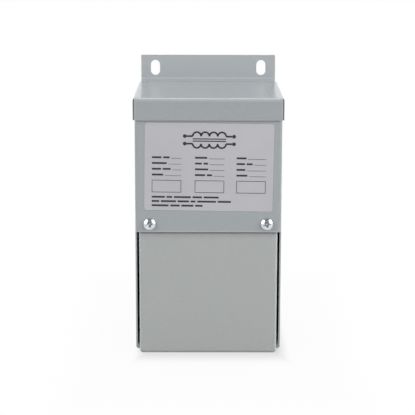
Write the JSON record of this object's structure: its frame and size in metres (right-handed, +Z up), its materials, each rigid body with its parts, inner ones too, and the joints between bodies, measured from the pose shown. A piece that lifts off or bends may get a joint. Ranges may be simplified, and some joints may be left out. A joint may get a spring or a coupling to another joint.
{
  "type": "general purpose transformer",
  "caption": "Small upright wall-mount transformer in a folded sheet-steel enclosure, with a slotted mounting flange on its lid and a screwed cover over the wiring space.",
  "frame": {"origin": "middle of the base, on the surface that it stands on", "axes": "+X to the right seen from the front, +Y from the front to the wall behind, +Z up"},
  "size_m": [0.0798, 0.0771, 0.1548],
  "materials": {
    "grey_paint": "satin powder coat",
    "zinc_plate": "bright zinc plate",
    "galvanised_sheet": "galvanised",
    "potting_resin": "matt cast resin"
  },
  "bodies": {
    "root": {"top_cap": "grey_paint", "outer_shell": "grey_paint", "back_plate": "grey_paint", "bottom_pan": "grey_paint", "wiring_cover": "grey_paint", "cover_screw_left": "zinc_plate", "cover_screw_right": "zinc_plate", "divider_plate": "galvanised_sheet", "potted_core": "potting_resin", "knockout_left": "grey_paint", "knockout_right": "grey_paint", "knockout_back": "grey_paint", "knockout_bottom": "grey_paint"}
  },
  "joints": []
}
